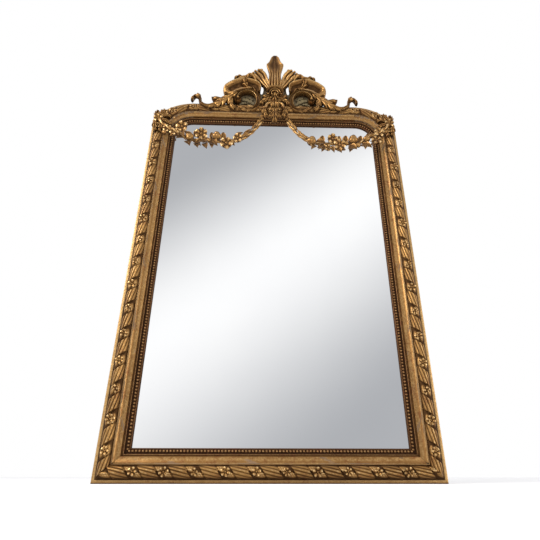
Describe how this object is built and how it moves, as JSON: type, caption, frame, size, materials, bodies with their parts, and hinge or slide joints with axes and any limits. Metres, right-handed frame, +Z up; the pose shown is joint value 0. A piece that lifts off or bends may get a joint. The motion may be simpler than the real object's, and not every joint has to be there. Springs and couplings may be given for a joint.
{
  "type": "trumeau mirror",
  "caption": "Tall gilded mirror frame with shaped upper corners, a ribbon-and-flower moulding, a pierced scrolled crest and flower garlands in front of the glass.",
  "frame": {"origin": "middle of the base, below the middle of the depth", "axes": "+Z up the mirror, -Y out of the front, +X to the viewer's right"},
  "size_m": [1, 0.092, 1.733],
  "materials": {
    "gilding": "water gilded carved wood, rubbed and toned",
    "shaded_gilding": "gilded, darkened with age",
    "painted_board": "ochre size paint",
    "bare_wood": "aged bare pine",
    "silvered_glass": "polished",
    "steel": "dull"
  },
  "bodies": {
    "frame": {"left_stile": "gilding", "right_stile": "gilding", "bottom_rail": "gilding", "top_rail": "gilding", "left_shoulder": "gilding", "right_shoulder": "gilding", "left_torus": "gilding", "right_torus": "gilding", "bottom_torus": "gilding", "top_torus": "gilding", "left_shoulder_torus": "gilding", "right_shoulder_torus": "gilding", "left_pearl_slip": "shaded_gilding", "right_pearl_slip": "shaded_gilding", "bottom_pearl_slip": "shaded_gilding", "top_pearl_slip": "shaded_gilding", "left_shoulder_slip": "shaded_gilding", "right_shoulder_slip": "shaded_gilding", "mirror_glass": "silvered_glass", "backboard_1": "bare_wood", "backboard_2": "bare_wood", "backboard_3": "bare_wood", "upper_batten": "bare_wood", "left_upper_batten_screw": "steel", "right_upper_batten_screw": "steel", "lower_batten": "bare_wood", "left_lower_batten_screw": "steel", "right_lower_batten_screw": "steel", "crest_board": "painted_board", "left_crest_post": "bare_wood", "right_crest_post": "bare_wood", "left_rail_screw": "steel", "right_rail_screw": "steel", "left_board_screw": "steel", "right_board_screw": "steel", "shell": "gilding", "finial": "gilding", "left_scroll": "gilding", "right_scroll": "gilding", "left_hood": "gilding", "right_hood": "gilding", "left_petal": "gilding", "right_petal": "gilding", "left_lobe_leaf": "gilding", "right_lobe_leaf": "gilding", "left_branch": "gilding", "right_branch": "gilding", "pendant": "gilding", "left_corner_spray": "gilding", "right_corner_spray": "gilding", "left_garland": "gilding", "right_garland": "gilding", "left_hanger_strap": "steel", "right_hanger_strap": "steel", "left_hanger_screw": "steel", "right_hanger_screw": "steel"},
    "left_ring": {"left_hanger_ring": "steel"},
    "right_ring": {"right_hanger_ring": "steel"}
  },
  "joints": [
    {"name": "left_ring_hinge", "type": "hinge", "parent": "frame", "child": "left_ring", "pos_m": [-0.3, 0.03995, 1.214], "axis": [1, 0, 0], "range_deg": [0, 165]},
    {"name": "right_ring_hinge", "type": "hinge", "parent": "frame", "child": "right_ring", "pos_m": [0.3, 0.03995, 1.214], "axis": [1, 0, 0], "range_deg": [0, 165]}
  ]
}
